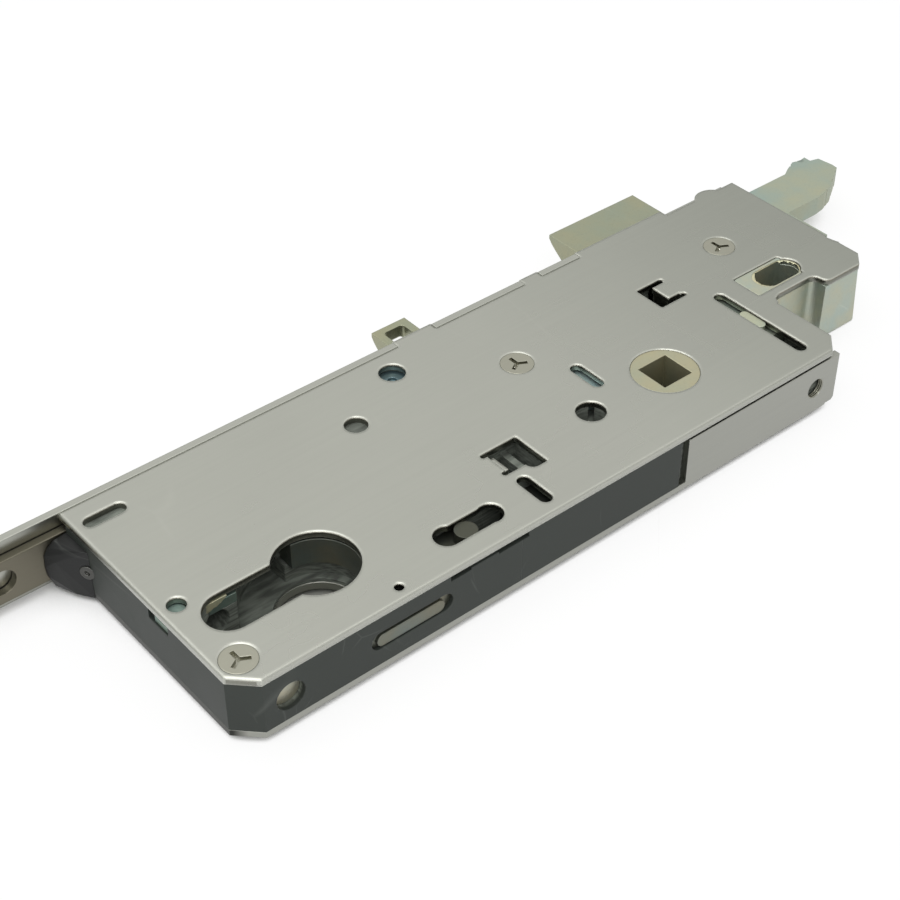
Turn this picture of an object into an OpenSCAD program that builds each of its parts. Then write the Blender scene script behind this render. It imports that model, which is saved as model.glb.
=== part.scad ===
// Centre case of a multipoint door lock with its drive rail, latch and shoot rod head.
// Origin on the spindle axis at the moulded body's middle plane: +X along the rail to the rod head,
// +Y to the faceplate, +Z to the cover plate.

/* [Lock] */
// Spindle centre to cylinder centre
pz = 92; // [85:1:100]
// Spindle centre to the faceplate's outer face
backset = 45; // [42:1:55]
// Spindle centre to the rear face of the case
rear = 18; // [18:0.5:22]
// Cylinder centre to the lower end of the case
foot = 30; // [29:0.5:40]
// Spindle centre to the stepped-back end of the case
shoulder = 37; // [37:0.5:38]
// Spindle centre to the upper end of the case
head_end = 66; // [66:0.5:68]

/* [Case] */
// Twice the height of the cover's outer face above the spindle plane
case_t = 15; // [14.5:0.1:16]
// Thickness of the cover plate and of the rear flange
plate_t = 1.5; // [1.2:0.1:1.6]
// Thickness of the base plate
base_t = 1.8; // [1.2:0.1:1.8]
// Width of the broken edges around the case
edge_break = 0.35; // [0.1:0.05:0.5]
// Corner cut at the lower rear corner
corner_cut = 4.8; // [3:0.1:7]
// Corner cut at the upper rear corner
upper_cut = 4; // [2:0.1:6]
// Length of the cover tabs that lie in the faceplate's edge
tab_len = 2; // [1:0.1:2]
// Wall of the moulded body at the rear and at the lower end
wall = 1.9; // [1.4:0.1:2]
// Thickness of the ribs in the moulded body
rib = 1.6; // [1:0.1:2.4]
// Depth of the end housing below the spindle plane
housing_drop = 9.1; // [7.6:0.1:10]

/* [Faceplate and rail] */
// Width of the faceplate
face_w = 16; // [15.5:0.5:20]
// Drop of the faceplate's centre line below the spindle plane
face_drop = 0.4; // [0:0.1:0.5]
// Thickness of the faceplate
face_t = 2; // [1.8:0.1:3]
// Lower end of the faceplate from the spindle
face_low = 178; // [176:1:240]
// Upper end of the faceplate from the spindle
face_high = 64; // [58:0.5:65]
// Width of the drive rail
rail_w = 10.2; // [9:0.1:10.3]
// Drop of the rail's centre line below the spindle plane
rail_drop = 0.65; // [0:0.05:0.65]
// Thickness of the drive rail
rail_t = 1.8; // [1.5:0.1:2]
// Fixing screw hole from the spindle
fix_x = 153.6; // [150:0.1:170]
// Bore of the fixing screw hole
fix_bore = 4.5; // [4:0.1:5]
// Bore of the cylinder screw hole
cyl_screw_bore = 5.5; // [5.2:0.1:5.6]

/* [Cylinder opening] */
// Width over the round part
cyl_round = 17.4; // [17.2:0.1:18]
// Width of the narrow part
cyl_web = 10.4; // [10.2:0.1:10.8]
// Cylinder centre to the centre of the narrow part's round end
cyl_drop = 19.6; // [19:0.1:20.5]

/* [Spindle and gear] */
// Across flats of the spindle hole
spindle = 8; // [7:0.5:8.5]
// Diameter of the follower hub
hub_d = 14.9; // [14.5:0.1:15]
// Gear module
gear_m = 1.6; // [1.55:0.01:1.6]
// Teeth on the full pitch circle
gear_z = 20; // [20:1:20]
// Handle lift from rest to locked, degrees
lift = 60; // [40:1:60]
// Thickness of the toothed segment
gear_t = 3; // [2.4:0.1:3]
// Thickness of the latch lever
lever_t = 3; // [2.4:0.1:3]
// Lever reach from the spindle to its round nose
lever_reach = 23; // [22.5:0.1:23]
// Radius of the lever's nose
nose_r = 2.2; // [1.8:0.1:2.3]

/* [Cylinder gear] */
// Module of the ring and of the lock slide's rack
ring_m = 1; // [0.9:0.05:1]
// Teeth on the ring's full pitch circle
ring_z = 24; // [24:1:25]
// Thickness of the ring
ring_t = 6.2; // [4.4:0.1:6.2]
// Thickness of the lock slide
slide_t = 4; // [3:0.1:4]

/* [Latch] */
// Width of the latch bolt
latch_w = 27.3; // [24:0.1:27.5]
// Centre of the latch bolt from the spindle
latch_x = 32.35; // [32:0.05:32.5]
// Thickness of the latch bolt
latch_t = 10; // [9:0.1:10]
// Reach of the latch bolt past the faceplate
latch_reach = 12.2; // [10:0.1:14]
// Travel of the latch bolt
latch_travel = 11.7; // [11.7:0.1:11.7]

/* [Small latch] */
// Width of the small latch
aux_w = 9.2; // [8:0.1:9.4]
// Centre of the small latch from the spindle
aux_x = -33; // [-33.5:0.1:-32.6]
// Reach of the small latch past the faceplate
aux_reach = 8.2; // [6:0.1:9]
// Depth of the small latch below the spindle plane
aux_low = 3.3; // [2:0.1:3.3]
// Wall around the small latch's pocket
aux_wall = 1.9; // [1.2:0.1:2.6]

/* [Fastenings] */
// Head diameter of the case screws
screw_head = 7.7; // [6.5:0.1:8]
// Shank diameter of the case screws
screw_d = 4; // [3:0.1:4]
// Bore of the handle screw hole
handle_bore = 6.6; // [5.5:0.1:6.6]
// Diameter of the rivets on the moving slides
rivet_d = 3; // [2:0.1:3.2]

/* [Fits] */
// Radial gap of a turning fit
turn_gap = 0.08; // [0.03:0.01:0.1]
// Gap along a sliding face
slide_gap = 0.25; // [0.2:0.05:0.35]
// Gap of a seated piece
seat_gap = 0.05; // [0:0.01:0.1]

/* [Hidden] */
$fn = 48;
eps = 0.01;
cut = 1;
// Tooth flanks: pressure angle, and what each tooth is thinned by in modules
pressure = 20;
backlash = 0.05;

// Levels through the case
z_top = case_t / 2;
z_in = z_top - plate_t;
z_low = -z_in - base_t;
// Lines across the case
y_back = backset - face_t;
rail_y = y_back - slide_gap + 0.05;
body_y = rail_y - rail_t - slide_gap;
x_low = -pz - foot;
cyl_x = -pz;
cyl_end_x = cyl_x - cyl_drop;

// Gear train at the spindle
hub_r = hub_d / 2;
gear_pr = gear_m * gear_z / 2;
gear_tip = gear_pr + gear_m;
gear_root = gear_pr - 1.25 * gear_m;
rail_travel = gear_pr * lift * PI / 180;
gear_z0 = -z_in + 0.4;
gear_ring = gear_root - 1;
dog_r = hub_r + 2.8;
plate_ledge = 1.5;
dog_half = 14;
press = 30;
rack_pitch = PI * gear_m;
slide_z0 = gear_z0 + 0.1;
slide_h = gear_t - 0.5;
strip_y0 = gear_pr + 1.25 * gear_m - 0.1;
strip_y1 = 23.2;
slide_back = 28;
arm_x0 = -8;
arm_x1 = 4;
rail_end = 8;

// Latch lever and carriage
lever_z0 = z_in - 0.6 - lever_t;
carriage_z0 = lever_z0 - 0.4;
carriage_z1 = z_in - 0.6;
lever_rest = 5;
lever_low = 1.6;
lug_top = lever_reach * sin(lever_rest) - nose_r - 0.4;
lug_h = 3.7;
carriage_x0 = lever_reach + nose_r + 0.4;
carriage_x1 = 33.2;
boss_x = 28.4;
boss_w = 2.5;
boss_y0 = -2.2;
boss_y1 = 4.7;

// Latch
latch_x0 = latch_x - latch_w / 2;
latch_x1 = latch_x + latch_w / 2;
latch_tip = backset + latch_reach;
latch_back = y_back - 2.8;
tail_y = latch_back - 10.2;
tail_x0 = 21.2;
tail_x1 = 40.6;
tail_z0 = -1.5;
spring_x = 36.5;
spring_z = 1.75;
spring_r = 2.3;
spring_wire = 0.8;
spring_bore = 3;
spring_deep = 9;
lug_x0 = 33.6;
lug_y0 = 4.4;
lug_y1 = 15.5;

// Small latch
aux_x0 = aux_x - aux_w / 2;
aux_x1 = aux_x + aux_w / 2;
aux_tip = backset + aux_reach;
aux_travel = aux_reach - 0.2;
stem_r = 1.6;
stem_wall = latch_back - 11.8;
stem_y = stem_wall - 7.4;
aux_wire = 0.6;
aux_coil = 2.9;

// Ring and lock slide at the cylinder
ring_pr = ring_m * ring_z / 2;
ring_in = cyl_round / 2 + 0.1;
ring_out = ring_pr + ring_m;
ring_z0 = z_in - 0.6 - ring_t;
rack_y = -ring_pr;
lock_z0 = -1.5;
bar_y0 = -rear + wall + slide_gap;
bar_y1 = rack_y - 1.25 * ring_m;
lock_x = -64;
lock_lug_x0 = lock_x - 7;
lock_lug_x1 = lock_x + 3.4;
lock_lug_y1 = -6.2;
bar_x0 = -102;
pad_x0 = -51.5;
pad_x1 = -42.5;
lock_low = 3;
lock_high = 6;
cam_r = 15.6;
cam_z = 5.1;

// Case openings, as places of their centres
lock_slot_y = -10.4;
case_screws_at = [[x_low + 4.8, -11], [-22.3, 22.2], [43.2, 25.7]];
handle_x = -21.5;
pin_at = [-44.9, body_y - 4.15];
pin_d = 5.9;
clip_at = [x_low + 3.8, 7.4];
window = [-47.4, -4, -38.8, 4];
housing_window = [35.6, 6, 50.4, 14.2];
oval = [38.9, 6.6, 51.9, 13.3];
body_end = 46.8;
deep_x = 50.4;
tab_spans = [[-38.2, -27.6], [-1.6, 3.6], [15.4, 43]];
tongue_x = 15.2;
shoot_z0 = -3;
shoot_z1 = 2;
shoot_w = 12.5;
foot_x = 58;
step_x = 65;
step_end = 73;

// Flat shapes

module slot_2d(x0, x1, y0, y1) {
    w = min(x1 - x0, y1 - y0);
    along_x = x1 - x0 >= y1 - y0;
    r = w / 2;
    translate([x0 + r, y0 + r]) circle(r);
    translate([x1 - r, y1 - r]) circle(r);
    if (along_x) translate([x0 + r, y0]) square([x1 - x0 - w, w]);
    else translate([x0, y0 + r]) square([w, y1 - y0 - w]);
}

module box(x0, x1, y0, y1, z0, z1) {
    translate([x0, y0, z0]) cube([x1 - x0, y1 - y0, z1 - z0]);
}

module flat(z0, z1) {
    translate([0, 0, z0]) linear_extrude(z1 - z0) children();
}

// A ring sector, from angle a0 to a1
module sector_2d(r0, r1, a0, a1) {
    steps = ceil((a1 - a0) / 30);
    far = 2 * r1;
    intersection() {
        difference() {
            circle(r1);
            circle(r0);
        }
        polygon(concat([[0, 0]], [for (i = [0:steps]) let (a = a0 + (a1 - a0) * i / steps)
            far * [cos(a), sin(a)]]));
    }
}

// Half the angle of an involute tooth at radius r
function involute(a) = tan(a) * 180 / PI - a;
function tooth_half(m, pr, r) = (PI / 4 - backlash) * m / pr * 180 / PI + involute(pressure)
    - involute(acos(min(1, pr * cos(pressure) / r)));

// Involute teeth number first to last, as one outline that closes at the centre
module teeth_2d(m, z, first, last) {
    pr = m * z / 2;
    base = pr * cos(pressure);
    radii = concat([pr - 1.25 * m], [for (i = [0:5]) base + (pr + m - base) * i / 5]);
    half = [for (r = radii) tooth_half(m, pr, max(r, base))];
    top = len(radii) - 1;
    polygon(concat([[0, 0]], [for (k = [first:last], i = [0:2 * top + 1])
        let (n = i <= top ? i : 2 * top + 1 - i, a = k * 360 / z + (i <= top ? -half[n] : half[n]))
        radii[n] * [cos(a), sin(a)]]));
}

// Rack teeth along X; the pitch line is y = 0 and the teeth point to -Y
module rack_teeth_2d(m, first, last) {
    half = (PI / 4 - backlash) * m;
    lean = tan(pressure);
    for (k = [first:last]) translate([(k + 0.5) * PI * m, 0])
        polygon([[-half - 1.25 * m * lean, 1.25 * m + 0.1], [-half + m * lean, -m], [half - m * lean, -m],
            [half + 1.25 * m * lean, 1.25 * m + 0.1]]);
}

module cylinder_profile_2d(gap = 0) {
    translate([cyl_x, 0]) circle(cyl_round / 2 + gap);
    translate([cyl_end_x, 0]) circle(cyl_web / 2 + gap);
    translate([cyl_end_x, -cyl_web / 2 - gap]) square([cyl_drop, cyl_web + 2 * gap]);
}

// Coil spring along Y from y0 to y1
module coil(x, z, r, wire, turns, y0, y1) {
    per = 8;
    rings = turns * per;
    sides = 6;
    rise = (y1 - y0 - wire) / rings;
    points = [for (i = [0:rings], k = [0:sides - 1])
        let (a = 360 * i / per, b = 360 * k / sides, q = r + wire / 2 * cos(b))
        [x + q * cos(a), y0 + wire / 2 + i * rise + wire / 2 * sin(b), z + q * sin(a)]];
    walls = [for (i = [0:rings - 1], k = [0:sides - 1])
        let (a = i * sides + k, b = i * sides + (k + 1) % sides) [a, a + sides, b + sides, b]];
    low_end = [for (k = [0:sides - 1]) k];
    high_end = [for (k = [0:sides - 1]) rings * sides + sides - 1 - k];
    polyhedron(points, concat(walls, [low_end], [high_end]));
}

// Outline of the plates, seen from the cover side. The upper end steps back over the end housing.
tab_y = 3.8;
curve_r = 1.9;
curve_x = 51.4;
end_cut = 3.4;
module plate_outline_2d() {
    polygon(concat(
        [[x_low, y_back], [x_low, -rear + corner_cut], [x_low + corner_cut, -rear],
        [shoulder - upper_cut, -rear], [shoulder, -rear + upper_cut], [shoulder, 1.3],
        [shoulder + 0.8, 3.1], [shoulder + 2.6, tab_y]],
        [for (a = [90:-15:0]) [curve_x - curve_r, tab_y - curve_r] + curve_r * [cos(a), sin(a)]],
        [for (a = [180:15:270]) [curve_x + curve_r, curve_r] + curve_r * [cos(a), sin(a)]],
        [[head_end - end_cut, 0], [head_end, end_cut], [head_end, 8.6], [head_end - 0.5, 10.3],
        [head_end - 0.9, 12.2], [head_end, 13.6], [head_end, y_back]]));
}

module edge_tabs_2d() {
    for (s = tab_spans) translate([s[0], y_back - 1]) square([s[1] - s[0], tab_len + 1]);
    translate([56.6, y_back + tab_len - 4.6]) circle(4.6);
}

// Countersunk hole from z_top downwards
module countersink(at, head, shank, z1) {
    deep = (head - shank) / 2;
    translate([at[0], at[1], z1 - deep]) cylinder(h = deep + eps, r1 = shank / 2, r2 = head / 2 + eps);
}

// Breaks the edge from p to q at height z, with the metal on the left of the way from p to q
module broken_edge(p, q, z) {
    deep = edge_break / sqrt(2);
    run = q - p;
    translate([p[0], p[1], z]) rotate(atan2(run[1], run[0])) rotate([z > 0 ? -45 : 45, 0, 0])
        translate([-edge_break, -2 * deep, -2 * deep]) cube([norm(run) + 2 * edge_break, 3 * deep, 4 * deep]);
}

module broken_case_edges(z) {
    corners = [[x_low, y_back], [x_low, -rear + corner_cut], [x_low + corner_cut, -rear],
        [shoulder - upper_cut, -rear], [shoulder, -rear + upper_cut], [shoulder, 1.3]];
    for (i = [0:len(corners) - 2]) broken_edge(corners[i], corners[i + 1], z);
}

// Faceplate

module faceplate() {
    edge = z_in - 0.05;
    color([0.68, 0.68, 0.64]) difference() {
        union() {
            box(-face_low, tongue_x, y_back, backset, -face_w / 2 - face_drop, face_w / 2 - face_drop);
            box(tongue_x - cut, face_high, y_back, backset, -edge, edge);
        }
        for (s = [tab_spans[0], tab_spans[1]], side = [-1, 1])
            box(s[0] - seat_gap, s[1] + seat_gap, y_back - cut, backset + cut,
                side > 0 ? edge : -face_w, side > 0 ? face_w : -edge);
        box(latch_x0 - slide_gap, latch_x1 + slide_gap, y_back - cut, backset + cut,
            -latch_t / 2 - 0.15, latch_t / 2 + 0.15);
        box(aux_x0 - slide_gap, aux_x1 + slide_gap, y_back - cut, backset + cut,
            -aux_low - 0.15, latch_t / 2 + 0.15);
        face_hole(-fix_x, fix_bore, -rail_drop);
        face_hole(cyl_end_x, cyl_screw_bore, 0);
        for (side = [-1, 1]) translate([-face_low - cut, backset, side * face_w / 2 - face_drop]) rotate([45, 0, 0])
            translate([0, -edge_break / sqrt(2), -edge_break / sqrt(2)])
            cube([face_low + tongue_x + cut, edge_break * sqrt(2), edge_break * sqrt(2)]);
    }
}

module face_hole(x, bore, z) {
    sink = 0.9;
    translate([x, y_back - cut, z]) rotate([-90, 0, 0]) cylinder(h = face_t + 2 * cut, r = bore / 2);
    translate([x, backset - sink, z]) rotate([-90, 0, 0])
        cylinder(h = sink + eps, r1 = bore / 2, r2 = bore / 2 + sink + eps);
}

// Case plates

module cover_plate() {
    color([0.67, 0.68, 0.64]) difference() {
        flat(z_in, z_top) difference() {
            union() {
                plate_outline_2d();
                edge_tabs_2d();
            }
            cylinder_profile_2d();
            circle(hub_r + turn_gap);
            translate([handle_x, 0]) circle(handle_bore / 2);
            slot_2d(x_low + 2, x_low + 11.4, body_y - 5.45, body_y - 2.25);
            slot_2d(-48.1, -45.1, -15.3, -6);
            slot_2d(-15.4, -12.4, 4.8, 14);
            slot_2d(boss_x - 1.45, boss_x + 1.45, boss_y0 - latch_travel - 0.2, 12.6);
            lock_slot_2d();
            translate(pin_at) circle(pin_d / 2);
            translate([-61.4, 27.6]) circle(2.55);
            translate(clip_at) circle(1.95);
            translate([-84.1, -15.1]) circle(1);
            spring_window_2d();
            latch_window_2d();
            rounded_window_2d(housing_window, 0.6);
            slot_2d(oval[0], oval[2] + 0.3, oval[1] - 0.1, oval[3] + 0.1);
            for (at = case_screws_at) translate(at) circle(screw_d / 2);
        }
        for (at = case_screws_at) countersink(at, screw_head, screw_d, z_top);
        broken_case_edges(z_top);
        broken_edge([head_end, end_cut], [head_end, 8.6], z_top);
        broken_edge([head_end, 13.6], [head_end, y_back], z_top);
    }
    color([0.67, 0.68, 0.64]) lanced_tabs();
}

module lock_slot_2d() {
    translate([lock_x - 4.4, lock_slot_y + 0.3]) circle(2.9);
    translate([lock_x + 6.1, lock_slot_y]) circle(2.8);
    translate([lock_x - 4.4, lock_slot_y - 2.6]) square([10.5, 5.15]);
}

module rounded_window_2d(w, r) {
    translate([w[0] + r, w[1]]) square([w[2] - w[0] - 2 * r, w[3] - w[1]]);
    translate([w[0], w[1] + r]) square([w[2] - w[0], w[3] - w[1] - 2 * r]);
    for (x = [w[0] + r, w[2] - r], y = [w[1] + r, w[3] - r]) translate([x, y]) circle(r);
}

// Window with a lanced tab: the relief cuts at the bend reach past its left side
module spring_window_2d() {
    translate([window[0], window[1]]) square([window[2] - window[0], window[3] - window[1]]);
    for (y = [window[1], window[3] - 1.3]) slot_2d(window[0] - 1.2, window[0] + 3, y, y + 1.3);
    translate([window[2] - 2.4, window[1] - 1.9]) square([2.4, 3]);
    translate([window[2] - 2.4, window[1]]) circle(1.9);
}

module latch_window_2d() {
    difference() {
        union() {
            rounded_window_2d([15.7, 16.7, 22.9, 25], 0.5);
            slot_2d(20, 23.8, 16.7, 18);
            slot_2d(20, 23.4, 23.9, 25);
        }
        translate([19.4, 18.4]) square([4, 5.1]);
    }
}

// The tabs bent down from the cover at both lanced windows
module lanced_tabs() {
    drop = 4;
    box(19.6, 20.8, 18.6, 23.3, z_in - drop + 1.5, z_in + eps);
    box(window[0] + 0.1, window[0] + 1.3, window[1] + 1.7, window[3] - 1.7, z_in - 3, z_in + 0.8);
    box(window[0] - 0.4, window[0] + 0.6, window[1] + 1.7, window[3] - 1.7, z_in, z_in + 0.8);
}

module base_plate() {
    flange_x0 = -10.5;
    flange_x1 = shoulder - 1.4;
    flange_top = z_in - 0.7;
    color([0.64, 0.65, 0.60]) difference() {
        flat(z_low, -z_in) difference() {
            intersection() {
                union() {
                    plate_outline_2d();
                    for (s = tab_spans) translate([s[0], y_back - 1]) square([s[1] - s[0], tab_len + 1]);
                }
                union() {
                    translate([x_low, -rear]) square([shoulder - x_low, rear + backset]);
                    translate([x_low, lug_y0]) square([deep_x - 0.2 - x_low, rear + backset]);
                }
            }
            cylinder_profile_2d();
            circle(hub_r + turn_gap);
            translate([handle_x, 0]) circle(handle_bore / 2);
            slot_2d(oval[0], oval[2], oval[1], oval[3]);
            for (at = case_screws_at) translate(at) circle(screw_d / 2 + seat_gap);
        }
        broken_case_edges(z_low);
    }
    color([0.64, 0.65, 0.60]) difference() {
        box(flange_x0, flange_x1, -rear, -rear + plate_t, z_low + 2 * edge_break, flange_top);
        translate([28.9, -rear - cut, -1]) rotate([-90, 0, 0]) cylinder(h = plate_t + 2 * cut, r = 2.4);
        translate([shoulder - 0.6, -rear - cut, z_low - 2.1]) rotate([0, -45, 0])
            cube([3, plate_t + 2 * cut, 3]);
    }
}

// Moulded body between the plates: pockets for the gear train, the bolts and the slides

module body_outline_2d() {
    flange_y = -rear + plate_t + 0.2;
    plastic_end = -12.7;
    polygon([[x_low, body_y], [x_low, -rear + corner_cut], [x_low + corner_cut, -rear], [plastic_end, -rear],
        [plastic_end, flange_y], [shoulder - upper_cut, flange_y], [shoulder - 0.2, flange_y + 2.4],
        [shoulder - 0.2, tab_y - 0.2], [lug_x0 - 0.2, tab_y - 0.2], [lug_x0 - 0.2, lug_y1 + 0.3],
        [body_end, lug_y1 + 0.3], [body_end, body_y]]);
}

// Pockets that lighten the moulding, between its ribs
module core_pockets() {
    floor_z = -z_in + 1.6;
    rows = [[17, 25], [26.6, 34.4]];
    for (row = rows, i = [0:4]) {
        x0 = x_low + wall + 0.6 + i * 11.2;
        if (!(row[0] > 20 && i == 4)) box(x0, x0 + 11.2 - rib, row[0], row[1], floor_z, z_in + cut);
    }
    for (i = [0:1]) box(-62.5 + i * 7.2, -62.5 + i * 7.2 + 5.6, -4.4, 20.5, floor_z, z_in + cut);
    box(-48.4, -38, -5.6, 5, floor_z, z_in + cut);
    box(-52.5, -50, 24, body_y - 3, floor_z, z_in + cut);
}

module window_ribs() {
    for (x = [-46, -42]) box(x, x + rib, -5.8, 5.2, -z_in + 1, z_in - 2.2);
}

// The lower moulding holds the lock ring, and the upper one the gear train; they meet in a rib
body_seam = -56.1;
module case_body() {
    color([0.25, 0.27, 0.26]) intersection() {
        moulding();
        box(x_low - cut, body_seam, -rear - cut, body_y + cut, -z_in - cut, z_in + cut);
    }
}

module gear_body() {
    color([0.25, 0.27, 0.26]) intersection() {
        moulding();
        box(body_seam, body_end + cut, -rear - cut, body_y + cut, -z_in - cut, z_in + cut);
    }
}

module moulding() {
    difference() {
        flat(-z_in, z_in) body_outline_2d();
        core_pockets();
        cylinder_pockets();
        gear_pockets();
        latch_pockets();
        small_latch_pocket();
        pin_pockets();
    }
    window_ribs();
}

module cylinder_pockets() {
    z0 = -z_in - cut;
    z1 = z_in + cut;
    flat(z0, z1) cylinder_profile_2d(0.2);
    translate([cyl_x, 0, ring_z0 - 0.1]) cylinder(h = z1, r = ring_out + 0.3);
    translate([cyl_x, 0, -cam_z]) cylinder(h = 2 * cam_z, r = ring_in + 1.6);
    // room for the cylinder's cam in the ring's gap
    translate([cyl_x, 0, -cam_z]) linear_extrude(z1 + cam_z) sector_2d(1, cam_r, 92, 268);
    // channel of the lock slide, with room for its travel
    box(bar_x0 - lock_low - 0.4, pad_x1 + lock_high + 0.4, -rear + wall, bar_y1 + slide_gap, lock_z0 - 0.3, z1);
    box(bar_x0 - lock_low - 0.4, lock_lug_x0, -rear + wall, bar_y1 + ring_m * 2.5, lock_z0 - 0.3, z1);
    box(lock_lug_x0 - lock_low - 0.4, lock_lug_x1 + lock_high + 0.4, -rear + wall, lock_lug_y1 + slide_gap,
        lock_z0 - 0.3, z1);
    box(pad_x0 - lock_low - 0.4, pad_x1 + lock_high + 0.4, -rear + wall, lock_lug_y1 + slide_gap,
        lock_z0 - 0.3, z1);
    // slot in the rear wall, and the notches under the cover's edge
    wall_slot(key_slot, -rear - cut, wall + 2 * cut);
    box(keeper_x0 - 0.2, keeper_x1 + 0.2, keeper_y - seat_gap, -rear + wall + cut, keeper_z0 - 0.2, z1);
    box(-74, -69, -rear - cut, -rear + wall + cut, z_in - 1.3, z1);
    box(-62.2, -54.4, -rear - cut, -rear + wall + cut, z_in - 1.3, z1);
    box(-69 - eps, -62.2 + eps, -rear - cut, -rear + 0.5, z_in - 0.8, z1);
}

module gear_pockets() {
    z1 = z_in + cut;
    // passage of the hub, whose edge stays as a ledge under the two turning plates
    translate([0, 0, -z_in - cut]) cylinder(h = 2 * z1, r = gear_ring - plate_ledge);
    // layer of the toothed segment
    translate([0, 0, -z_in - cut]) cylinder(h = gear_z0 + gear_t + 0.2 + z1, r = gear_ring + 0.4);
    flat(-z_in - cut, gear_z0 + gear_t + 0.2) intersection() {
        circle(gear_tip + 0.5);
        translate([-30, -2.8]) square([60, 34]);
    }
    // layer of the latch lever and its counter arm
    flat(lever_z0 - 0.2, z1) {
        circle(gear_ring + 0.4);
        intersection() {
            circle(22.6);
            translate([-19.6, 1.8]) square([23, 22.8]);
        }
    }
    box(0, carriage_x0 + 0.2, -rear + wall + 0.2, 6.6, lever_z0 - 0.2, z1);
    // channel of the drive slide
    box(slide_x0 - rail_travel - 0.4, 48, gear_pr - gear_m - 0.3, slide_back + 0.4, -z_in - cut,
        slide_z0 + slide_h + 0.3);
    box(arm_x0 - rail_travel - 0.4, arm_x1 + 0.4, slide_back - 1.2, body_y + cut, -z_in - cut, 3.5);
    // handle screw
    translate([handle_x, 0, -z_in - cut]) cylinder(h = 2 * z1, r = handle_bore / 2);
}

module latch_pockets() {
    z1 = z_in + cut;
    box(latch_x0 - slide_gap, latch_x1 + slide_gap, latch_back - latch_travel - 0.3, body_y + cut, -z1, z1);
    box(tail_x0 - 0.3, tail_x1 + 0.3, tail_y - latch_travel - 0.3, latch_back, tail_z0 - 0.3, z1);
    box(carriage_x0 - 0.3, carriage_x1 + 0.3, -rear, tail_y, carriage_z0 - 0.3, z1);
    box(17.2, carriage_x1, -rear, lug_top + 0.6, carriage_z0 - 0.3, z1);
    box(spring_x - 3.2, spring_x + 3.2, lug_y1, tail_y, spring_z - 3.2, z1);
    box(foot_x - rail_travel - 0.4, 48, strip_y0 - 0.4, strip_y1 + 0.3, -z1, shoot_z1 + 0.3);
    box(16, 23.4, 16, 26, -z_in + 4, z1);
}

module small_latch_pocket() {
    z1 = z_in + cut;
    box(aux_x0 - slide_gap, aux_x1 + slide_gap, stem_wall, body_y + cut, -aux_low - slide_gap, z1);
    translate([aux_x, stem_y - aux_travel - 0.4, 0]) rotate([-90, 0, 0])
        cylinder(h = stem_wall - stem_y + aux_travel + cut, r = stem_r + 0.1);
}

module pin_pockets() {
    z1 = z_in + cut;
    translate([pin_at[0], pin_at[1], -z_in + 1]) cylinder(h = 2 * z1, r = pin_d / 2 + 0.4 + seat_gap);
    for (at = case_screws_at) translate([at[0], at[1], -z1]) cylinder(h = 2 * z1, r = screw_d / 2 + 0.6);
    translate([cyl_end_x + 0.3, -rear - cut, -0.4]) rotate([-90, 0, 0]) cylinder(h = 7.6, r = 3.2);
    flat(clip_z0 - seat_gap, z1) clip_2d(seat_gap);
    box(x_low - cut, x_low + 1, 4.9, 11.4, clip_z1 - 1.3, z1);
    // screw passage from the faceplate to the cylinder
    translate([cyl_end_x, cyl_web / 2 - cut, 0]) rotate([-90, 0, 0])
        cylinder(h = body_y, r = cyl_screw_bore / 2 + 0.3);
    // recess under the guide's small screw
    guide_axis() translate([0, 0, -seat_gap]) cylinder(h = 4, r = guide_head + seat_gap);
}

// Cast end housing under the upper tab of the cover

module end_housing() {
    top = z_in - seat_gap;
    inset = 0.15;
    draft = 3;
    color([0.66, 0.68, 0.64]) difference() {
        union() {
            flat(-housing_drop, top) {
                intersection() {
                    inset_outline_2d(inset);
                    translate([deep_x, -1]) square([60, 60]);
                }
                // square corners where the plate's outline is rounded or cut
                translate([curve_x + 0.15, inset]) square([4, 2.5]);
                translate([head_end - end_cut - 2, inset]) square([end_cut + 2 - inset, end_cut + 2]);
            }
            flat(-z_in + seat_gap, top) intersection() {
                inset_outline_2d(inset);
                union() {
                    translate([lug_x0, tab_y]) square([deep_x - lug_x0 + eps, lug_y1 - tab_y]);
                    translate([body_end + 0.3, tab_y]) square([deep_x - body_end, y_back]);
                }
            }
            // boss that fills the cover's window
            flat(top - eps, z_top - 0.15) rounded_window_2d([housing_window[0] + 0.2, housing_window[1] + 0.2,
                housing_window[2] - 0.2, housing_window[3] - 0.2], 0.6);
        }
        // oval hole through the boss
        flat(-housing_drop - cut, z_top + cut) slot_2d(oval[0], oval[2], oval[1], oval[3]);
        // drafted cut at the end, and the broken lower corner
        translate([head_end - end_cut, inset, top]) rotate(45) rotate([-draft, 0, 0])
            translate([-end_cut, -20, -40]) cube([30, 20, 60]);
        broken_edge([curve_x + 2, inset], [head_end, inset], -housing_drop);
        // channel of the shoot rod, open at the upper end
        box(body_end, step_end, strip_y0 - 0.4, y_back + cut, slide_z0 - 0.4, shoot_z1 + 0.3);
        // spring seat
        translate([spring_x, lug_y1 - 1, spring_z]) rotate([-90, 0, 0]) cylinder(h = 3, r = spring_bore);
        // room for the faceplate's tongue and rounded relief on the flat sides
        box(body_end, head_end + cut, y_back - 0.05, y_back + cut, -housing_drop - cut, z_top);
    }
}

module inset_outline_2d(inset) {
    intersection() {
        translate([inset, inset]) plate_outline_2d();
        translate([-inset, inset]) plate_outline_2d();
        translate([0, -inset / 2]) plate_outline_2d();
        translate([0, inset]) plate_outline_2d();
    }
}

// A slot with round ends through the rear wall, as [x0, x1, z, r]
module wall_slot(s, y0, h) {
    for (x = [s[0] + s[3], s[1] - s[3]]) translate([x, y0, s[2]]) rotate([-90, 0, 0]) cylinder(h = h, r = s[3]);
    translate([s[0] + s[3], y0, s[2] - s[3]]) cube([s[1] - s[0] - 2 * s[3], h, 2 * s[3]]);
}

// Fixed small pieces

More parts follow.
